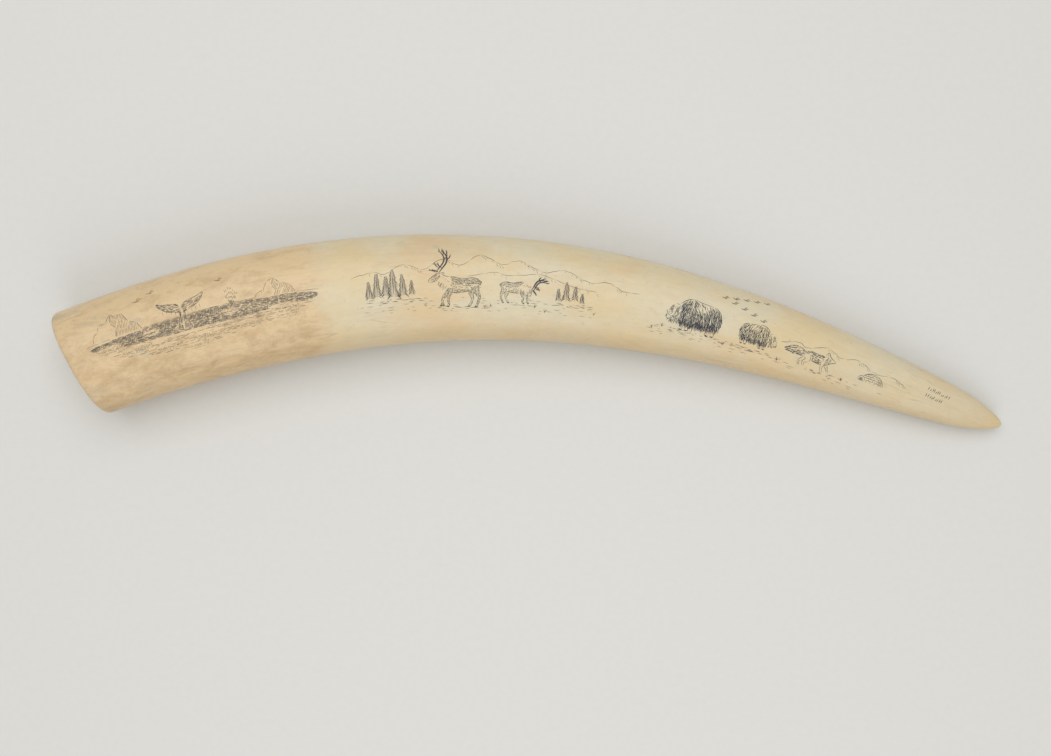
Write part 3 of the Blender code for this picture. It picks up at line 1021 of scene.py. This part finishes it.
def face_bare_skin(mesh):
    """Gives the bare skin in the window its true facing, which its triangles only come near."""
    cut = values(mesh.attributes["ink"].data, "value", np.int32)
    distance = straight[:, 0]
    body = (distance > RIM_RADIUS * 1.01) & (distance < LENGTH - NOSE_LENGTH) & (np.abs(turn) < 0.45)
    facing = np.zeros((len(distance), 3))
    facing[body] = skin_normals(distance[body], turn[body])
    facing = facing[corner_point]
    facing[cut[corner_face] > 0] = 0.0
    mesh.normals_split_custom_set(facing.tolist())


def unroll(mesh):
    """Lays the skin out flat in a square: two lengths side by side, and the sawn face beside them."""
    distance, out, up = straight[corner_point].T
    middle = np.bincount(corner_face, weights=distance) / corners_of
    side = np.sign(np.bincount(corner_face, weights=turn[corner_point]))[corner_face]
    share = turn[corner_point]
    share = np.where((np.abs(share) > 0.4) & (np.sign(share) != side), side * 0.5, share)
    second = middle[corner_face] > LENGTH / 2
    x = BAKE_EDGE + distance - second * LENGTH / 2
    y = share * girth(distance) + np.where(second, BAKE_SECOND_ROW, BAKE_FIRST_ROW)
    sawn = values(mesh.polygons, "material_index", np.int32)[corner_face] == 1
    x = np.where(sawn, BAKE_BUTT[0] + out, x)
    y = np.where(sawn, BAKE_BUTT[1] + up, y)
    sheet = mesh.uv_layers.new(name="OFBake")
    sheet.data.foreach_set("uv", (np.column_stack((x, y)) / BAKE_SHEET).astype(np.float32).ravel())


face_bare_skin(ivory_mesh)
unroll(ivory_mesh)


def linear(code):
    """An sRGB hex colour, turned to the linear one that a shader takes."""
    channels = [int(code[k : k + 2], 16) / 255 for k in (1, 3, 5)]
    return (*[c / 12.92 if c <= 0.04045 else ((c + 0.055) / 1.055) ** 2.4 for c in channels], 1.0)


def add(tree, kind, inputs=None, **settings):
    """Adds a node: its settings, then its inputs by name or number. A mix is one of colours.

    An input is a value, a hex colour, or the node or socket that it is linked to.
    """
    node = tree.nodes.new("ShaderNode" + kind)
    if kind == "Mix":
        node.data_type = "RGBA"
    for name, value in settings.items():
        setattr(node, name, value)
    for name, value in (inputs or {}).items():
        named = [socket for socket in node.inputs if socket.enabled and socket.name == name]
        socket = named[0] if named else node.inputs[name]
        if isinstance(value, str):
            value = linear(value)
        if isinstance(value, bpy.types.Node):
            value = next(output for output in value.outputs if output.enabled)
        if isinstance(value, bpy.types.NodeSocket):
            tree.links.new(value, socket)
        else:
            socket.default_value = value
    return node


def new_finish(name):
    """An empty material with its nodes and its shader."""
    material = bpy.data.materials.new(name)
    material.use_nodes = True
    return material, material.node_tree, material.node_tree.nodes["Principled BSDF"]


# Walrus dentine, scraped and buffed by hand: a pale cream, clouded with tan, that the light enters
# a little way. It is browner for a stretch from the butt, and a darker yellow is painted along the
# inside of the bow as shade.
PALE_CREAM = "#D9CEB1"
CREAM = "#DBC89F"
TAN_CLOUD = "#D9BF94"
ROOT_TAN = "#DEC49A"
ROOT_BROWN = "#BFA278"
# The darker yellow of the painted shade along the inside of the bow
LOW_SIDE_SHADE_YELLOW = "#CBAF82"
CRACK_BROWN = "#8A6B43"
SCUFF_GREY = "#BCB099"
ROOT_END = 0.149  # how far from the butt the browner stretch ends
IVORY_ROUGHNESS = 0.42
IVORY_IOR = 1.54


def polished_ivory():
    material, tree, shader = new_finish("polished_walrus_ivory")
    place = add(tree, "Attribute", attribute_name="unbent").outputs["Vector"]
    straight_place = add(tree, "SeparateXYZ", {"Vector": place})
    along, out = straight_place.outputs["X"], straight_place.outputs["Y"]
    # A pattern laid on the first of these comes out twice as long as it is wide, and on the
    # second 16 times, down the length of the tusk. A pattern's own scale gives its length.
    patchy = add(tree, "Mapping", {"Vector": place, "Scale": (1.0, 2.0, 2.0)})
    streaky = add(tree, "Mapping", {"Vector": place, "Scale": (1.0, 16.0, 16.0)})

    # Broad clouds: paler ones 50 mm long, and tan ones 65 mm long that fade towards the tip
    clouds = add(tree, "TexNoise", {"Vector": patchy, "Scale": 1 / 0.050, "Detail": 4.0})
    clouded = add(tree, "MapRange", {"Value": clouds, "From Min": 0.38, "From Max": 0.62})
    pale = add(tree, "Mix", {"Factor": clouded, "A": PALE_CREAM, "B": CREAM})
    tans = add(tree, "TexNoise", {"Vector": patchy, "Scale": 1 / 0.065, "Detail": 5.0,
                                  "Roughness": 0.62, "Distortion": 0.4})
    most_tan = add(tree, "MapRange", {"Value": along, "From Min": 0.48, "From Max": 0.54,
                                      "To Min": 0.85, "To Max": 0.25})
    tanned = add(tree, "MapRange", {"Value": tans, "From Min": 0.47, "From Max": 0.62,
                                    "To Max": most_tan})
    ragged = add(tree, "TexNoise", {"Vector": patchy, "Scale": 1 / 0.026, "Detail": 7.0,
                                    "Roughness": 0.65})
    shifted = add(tree, "Math", {0: ragged, 1: 0.045, 2: along}, operation="MULTIPLY_ADD")
    past_pale = add(tree, "MapRange", {"Value": shifted, "From Min": 0.185, "From Max": 0.230})
    tan_share = add(tree, "Math", {0: tanned, 1: past_pale}, operation="MULTIPLY")
    cream = add(tree, "Mix", {"Factor": tan_share, "A": pale, "B": TAN_CLOUD})

    # The browner stretch, its end ragged, with darker blotches low on the inside of the bow
    rooted = add(tree, "MapRange", {"Value": shifted, "From Min": ROOT_END + 0.014,
                                    "From Max": ROOT_END + 0.034, "To Min": 1.0, "To Max": 0.0},
                 interpolation_type="SMOOTHSTEP")
    mottle = add(tree, "TexNoise", {"Vector": patchy, "Scale": 1 / 0.017, "Detail": 8.0,
                                    "Roughness": 0.76, "Distortion": 0.3})
    low_mottle = add(tree, "Math", {0: out, 1: -2.6, 2: mottle}, operation="MULTIPLY_ADD")
    mottled = add(tree, "MapRange", {"Value": low_mottle, "From Min": 0.44, "From Max": 0.70})
    root = add(tree, "Mix", {"Factor": mottled, "A": ROOT_TAN, "B": ROOT_BROWN})
    body = add(tree, "Mix", {"Factor": rooted, "A": cream, "B": root})

    # Painted shade: a darker yellow low on the inside of the bow, the side turned from the overhead
    # light, covering more of it towards the tip
    lean = add(tree, "Math", {0: along, 1: 0.056, 2: -0.0215}, operation="MULTIPLY_ADD")
    low_side = add(tree, "Math", {0: out, 1: lean}, operation="SUBTRACT")
    low_side_ragged = add(tree, "Math", {0: mottle, 1: 0.014, 2: low_side}, operation="MULTIPLY_ADD")
    painted_low_shade = add(tree, "MapRange", {"Value": low_side_ragged, "From Min": 0.006, "From Max": -0.024,
                                      "To Min": 0.0, "To Max": 0.66},
                   interpolation_type="SMOOTHSTEP")
    low_shaded_body = add(tree, "Mix", {"Factor": painted_low_shade, "A": body, "B": LOW_SIDE_SHADE_YELLOW})

    # Faint growth lines 1.5 mm apart down the length, and a soft mottling 4 mm across
    lines = add(tree, "TexNoise", {"Vector": streaky, "Scale": 1 / 0.024, "Detail": 4.0,
                                   "Roughness": 0.6})
    lined = add(tree, "MapRange", {"Value": lines, "From Min": 0.3, "From Max": 0.7,
                                   "To Min": 0.980, "To Max": 1.014})
    soft = add(tree, "TexNoise", {"Vector": patchy, "Scale": 1 / 0.008, "Detail": 5.0,
                                  "Roughness": 0.7})
    softened = add(tree, "MapRange", {"Value": soft, "From Min": 0.3, "From Max": 0.7,
                                      "To Min": 0.955, "To Max": 1.03})
    shade = add(tree, "Math", {0: lined, 1: softened}, operation="MULTIPLY")
    grained = add(tree, "Mix", {"Factor": 1.0, "A": low_shaded_body, "B": shade}, blend_type="MULTIPLY")

    # Hairline age cracks: the thin level line of a long pattern, kept in a few places only
    crack_line = add(tree, "TexNoise", {"Vector": streaky, "Scale": 1 / 0.115, "Detail": 2.0})
    off_line = add(tree, "Math", {0: crack_line, 1: 0.5}, operation="SUBTRACT")
    far_off = add(tree, "Math", {0: off_line}, operation="ABSOLUTE")
    near_line = add(tree, "MapRange", {"Value": far_off, "From Min": 0.0, "From Max": 0.009,
                                       "To Min": 1.0, "To Max": 0.0})
    crack_spots = add(tree, "TexNoise", {"Vector": patchy, "Scale": 1 / 0.060, "Detail": 1.0})
    some = add(tree, "MapRange", {"Value": crack_spots, "From Min": 0.56, "From Max": 0.64})
    cracks = add(tree, "Math", {0: near_line, 1: some}, operation="MULTIPLY")
    crack_share = add(tree, "Math", {0: cracks, 1: 0.28}, operation="MULTIPLY")
    cracked = add(tree, "Mix", {"Factor": crack_share, "A": grained, "B": CRACK_BROWN})

    # Grey scuffs near the butt, and a sprinkle of pores
    scuffs = add(tree, "TexNoise", {"Vector": patchy, "Scale": 1 / 0.013, "Detail": 6.0,
                                    "Roughness": 0.7})
    butt_near = add(tree, "MapRange", {"Value": along, "From Min": 0.0, "From Max": 0.090,
                                       "To Min": 0.09, "To Max": 0.0})
    scuff_level = add(tree, "Math", {0: scuffs, 1: butt_near}, operation="ADD")
    scuffed = add(tree, "MapRange", {"Value": scuff_level, "From Min": 0.60, "From Max": 0.74,
                                     "To Max": 0.5})
    worn = add(tree, "Mix", {"Factor": scuffed, "A": cracked, "B": SCUFF_GREY})
    pores = add(tree, "TexVoronoi", {"Vector": place, "Scale": 1 / 0.0042})
    pore = add(tree, "MapRange", {"Value": pores.outputs["Distance"], "From Min": 0.05,
                                  "From Max": 0.11, "To Min": 0.3, "To Max": 0.0})
    pored = add(tree, "Mix", {"Factor": pore, "A": worn, "B": CRACK_BROWN})
    tree.links.new(pored.outputs["Result"], shader.inputs["Base Color"])

    # A hand polish: smoother in streaks, rougher in the scuffs
    streaks = add(tree, "TexNoise", {"Vector": streaky, "Scale": 1 / 0.035, "Detail": 5.0,
                                     "Roughness": 0.65})
    streaked = add(tree, "MapRange", {"Value": streaks, "From Min": 0.3, "From Max": 0.7,
                                      "To Min": IVORY_ROUGHNESS - 0.05,
                                      "To Max": IVORY_ROUGHNESS + 0.05})
    roughened = add(tree, "Math", {0: scuffed, 1: 0.3, 2: streaked}, operation="MULTIPLY_ADD")
    tree.links.new(roughened.outputs[0], shader.inputs["Roughness"])

    # Scraper lines and the lips of the cracks stand a few hundredths of a millimetre
    relief = add(tree, "Math", {0: cracks, 1: -1.5, 2: streaks}, operation="MULTIPLY_ADD")
    bump = add(tree, "Bump", {"Strength": 0.25, "Distance": 0.00012, "Height": relief})
    tree.links.new(bump.outputs[0], shader.inputs["Normal"])
    shader.inputs["IOR"].default_value = IVORY_IOR
    shader.inputs["Coat Weight"].default_value = 0.10
    shader.inputs["Coat Roughness"].default_value = 0.25
    shader.inputs["Subsurface Weight"].default_value = 0.18
    shader.inputs["Subsurface Radius"].default_value = (1.0, 0.62, 0.36)
    shader.inputs["Subsurface Scale"].default_value = 0.0018
    return material


# The saw-cut end: the tusk's own layers in section, as every walrus tusk shows them. A thin pale
# bark, a band of plain dentine, and at the heart the marbled dentine that looks like oatmeal.
BARK = "#E0CFA8"
DENTINE = "#D9C094"
HEART_PALE = "#E4D3AE"
HEART_DARK = "#BC9D70"
BARK_START = 0.90  # share of the way out from the middle
HEART_END = 0.52
BUTT_HALF_WIDTH = WIDTHS[0.00] / 2
GROWTH_RINGS = 26.0  # from the heart to the bark
SAW_PITCH = 0.00237  # between the marks of the saw


def sawn_ivory():
    material, tree, shader = new_finish("sawn_walrus_ivory")
    place = add(tree, "Attribute", attribute_name="unbent").outputs["Vector"]
    even = add(tree, "Mapping", {"Vector": place, "Scale": (
        0.0, 1 / BUTT_HALF_WIDTH, 1 / BUTT_HALF_WIDTH / FLATNESS)})
    reach = add(tree, "VectorMath", {0: even}, operation="LENGTH").outputs["Value"]
    wobble = add(tree, "TexNoise", {"Vector": place, "Scale": 1 / 0.009, "Detail": 3.0})
    ragged = add(tree, "Math", {0: wobble, 1: 0.16, 2: reach}, operation="MULTIPLY_ADD")
    swirled = add(tree, "TexNoise", {"Vector": place, "Scale": 1 / 0.006, "Detail": 3.0})
    bent = add(tree, "VectorMath", {0: swirled.outputs["Color"], 1: (0.003, 0.003, 0.003),
                                    2: place}, operation="MULTIPLY_ADD")
    marble = add(tree, "TexVoronoi", {"Vector": bent, "Scale": 1 / 0.0025}, feature="SMOOTH_F1")
    marbled = add(tree, "MapRange", {"Value": marble.outputs["Distance"], "From Min": 0.15,
                                     "From Max": 0.55})
    heart = add(tree, "Mix", {"Factor": marbled, "A": HEART_PALE, "B": HEART_DARK})
    in_heart = add(tree, "MapRange", {"Value": ragged, "From Min": HEART_END + 0.06,
                                      "From Max": HEART_END + 0.12, "To Min": 1.0, "To Max": 0.0})
    inner = add(tree, "Mix", {"Factor": in_heart, "A": DENTINE, "B": heart})
    in_bark = add(tree, "MapRange", {"Value": reach, "From Min": BARK_START - 0.02,
                                     "From Max": BARK_START + 0.01})
    layered = add(tree, "Mix", {"Factor": in_bark, "A": inner, "B": BARK})
    across = add(tree, "CombineXYZ", {"X": ragged})
    growth = add(tree, "TexNoise", {"Vector": across, "Scale": GROWTH_RINGS})
    ringed = add(tree, "MapRange", {"Value": growth, "From Min": 0.3, "From Max": 0.7,
                                    "To Min": 0.90, "To Max": 1.06})
    shaded = add(tree, "Mix", {"Factor": 1.0, "A": layered, "B": ringed}, blend_type="MULTIPLY")
    tree.links.new(shaded.outputs["Result"], shader.inputs["Base Color"])
    # A wave's bands lie pi / 10 of its own measure apart
    saw = add(tree, "TexWave", {"Vector": place, "Scale": math.pi / 10 / SAW_PITCH,
                                "Distortion": 1.4, "Detail": 2.0, "Detail Scale": 2.0},
              bands_direction="Y")
    bump = add(tree, "Bump", {"Strength": 0.4, "Distance": 0.0002, "Height": saw.outputs["Fac"]})
    tree.links.new(bump.outputs[0], shader.inputs["Normal"])
    rough = add(tree, "MapRange", {"Value": saw.outputs["Fac"], "To Min": 0.5, "To Max": 0.62})
    tree.links.new(rough.outputs[0], shader.inputs["Roughness"])
    shader.inputs["IOR"].default_value = IVORY_IOR
    return material


ivory_mesh.materials.append(polished_ivory())
ivory_mesh.materials.append(sawn_ivory())
tusk = bpy.data.objects.new("engraved_tusk", ivory_mesh)
bpy.context.scene.collection.objects.link(tusk)
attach(tusk, "root")
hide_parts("tusk")

# The ink.
# Lampblack, rubbed into the cuts and wiped off the skin around them: it fills each cut from its
# floor to just under its lips. It is black in the late cuts, and grey or brown where it is worn.

INK_SINK = 0.00003  # metres from the skin down to the ink
INK_ROUGHNESS = 0.6
INK_STRETCHES = {"sea_ink": 0.160, "tree_line_ink": 0.341, "tundra_ink": LENGTH}  # where each ends


def ink_body(start, end):
    """The ink of one stretch of the tusk, as closed thin bodies that fill its cuts."""
    body = cut_skin.copy()
    along, deep = (body.verts.layers.float[layer] for layer in ("along", "deep"))
    kind = body.faces.layers.int["ink"]
    elsewhere = [
        face for face in body.faces
        if face[kind] == 0 or not start < face.verts[0][along] < end
        or all(vert[deep] <= 0.0 for vert in face.verts)
    ]
    bmesh.ops.delete(body, geom=elsewhere, context="FACES")
    pinches = [edge for edge in body.edges if all(vert[deep] <= 0.0 for vert in edge.verts)]
    bmesh.ops.split_edges(body, edges=[edge for edge in pinches if not edge.is_boundary])
    for face in body.faces:
        face.material_index = face[kind] - 1
        face.smooth = False
    floors = body.faces[:]
    doubled = bmesh.ops.duplicate(body, geom=floors)
    lids = [item for item in doubled["geom"] if isinstance(item, bmesh.types.BMVert)]
    bmesh.ops.reverse_faces(body, faces=floors)
    lay(body, lids, most=INK_SINK)
    lips = {lid: doubled["vert_map"][lid] for lid in lids if lid[deep] <= 0.0}
    bmesh.ops.weld_verts(body, targetmap=lips)
    return body


def ink_finish(name, colour):
    """Dried ink in a cut: matt, with a grainy crust."""
    material, tree, shader = new_finish(name)
    shader.inputs["Base Color"].default_value = linear(colour)
    place = add(tree, "TexCoord").outputs["Object"]
    crust = add(tree, "TexNoise", {"Vector": place, "Scale": 1 / 0.0004, "Detail": 2.0})
    rough = add(tree, "MapRange", {"Value": crust, "To Min": INK_ROUGHNESS - 0.1,
                                   "To Max": INK_ROUGHNESS + 0.1})
    tree.links.new(rough.outputs[0], shader.inputs["Roughness"])
    bump = add(tree, "Bump", {"Strength": 0.3, "Distance": 0.00003, "Height": crust})
    tree.links.new(bump.outputs[0], shader.inputs["Normal"])
    return material


ink_finishes = [ink_finish(f"{name}_ink", colour) for name, colour in INKS.items()]
start = 0.0
for name, end in INK_STRETCHES.items():
    mesh = bpy.data.meshes.new(name)
    body = ink_body(start, end)
    body.to_mesh(mesh)
    body.free()
    for finish in ink_finishes:
        mesh.materials.append(finish)
    ink = bpy.data.objects.new(name, mesh)
    bpy.context.scene.collection.objects.link(ink)
    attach(ink, "root")
    start = end
cut_skin.free()


# The table, lights and camera.
# A plain pale table. One broad soft light overhead, a little to the outside of the bow, and a
# weaker one on the near side. The camera looks straight down, as it did for the photograph.

PHOTO_SIZE = (1051, 756)  # pixels
TABLE_PIXEL = 0.000612  # metres of the table in a pixel of the photograph
CAMERA_HEIGHT = 0.82
CAMERA_PLACE = (-0.0048, -0.0272)
SENSOR = 36.0
TABLE_SIZE = 3.0

table_mesh = bpy.data.meshes.new("table")
table_shape = bmesh.new()
bmesh.ops.create_grid(table_shape, x_segments=1, y_segments=1, size=TABLE_SIZE / 2)
table_shape.to_mesh(table_mesh)
table_shape.free()
table_finish, tree, shader = new_finish("pale_matt_card")
on_table = add(tree, "TexCoord").outputs["Object"]
fibre = add(tree, "TexNoise", {"Vector": on_table, "Scale": 1 / 0.004, "Detail": 4.0})
card = add(tree, "Mix", {"Factor": fibre, "A": "#D9D9D6", "B": "#DEDEDB"})
tree.links.new(card.outputs["Result"], shader.inputs["Base Color"])
shader.inputs["Roughness"].default_value = 0.9
table_mesh.materials.append(table_finish)
table = bpy.data.objects.new("table", table_mesh)
bpy.context.scene.collection.objects.link(table)

SOFT_LIGHTS = {  # place, size and power of each
    "overhead": ((-0.10, 0.42, 1.40), 1.4, 10.8),
    "near_side": ((0.10, -1.0, 0.9), 1.0, 4.2),
}
for name, (place, size, power) in SOFT_LIGHTS.items():
    lamp = bpy.data.lights.new(name, "AREA")
    lamp.shape = "SQUARE"
    lamp.size = size
    lamp.energy = power
    light = bpy.data.objects.new(name, lamp)
    light.location = place
    light.rotation_euler = (-Vector(place)).to_track_quat("-Z", "Y").to_euler()
    bpy.context.scene.collection.objects.link(light)

sky = bpy.data.worlds.new("studio")
sky.use_nodes = True
sky.node_tree.nodes["Background"].inputs["Color"].default_value = linear("#F2F0EC")
sky.node_tree.nodes["Background"].inputs["Strength"].default_value = 0.57
bpy.context.scene.world = sky
bpy.context.scene.view_settings.view_transform = "Standard"

camera = bpy.data.objects.new("camera", bpy.data.cameras.new("camera"))
camera.location = (*CAMERA_PLACE, CAMERA_HEIGHT)
camera.data.sensor_width = SENSOR
camera.data.lens = SENSOR * CAMERA_HEIGHT / (PHOTO_SIZE[0] * TABLE_PIXEL)
bpy.context.scene.collection.objects.link(camera)
bpy.context.scene.camera = camera
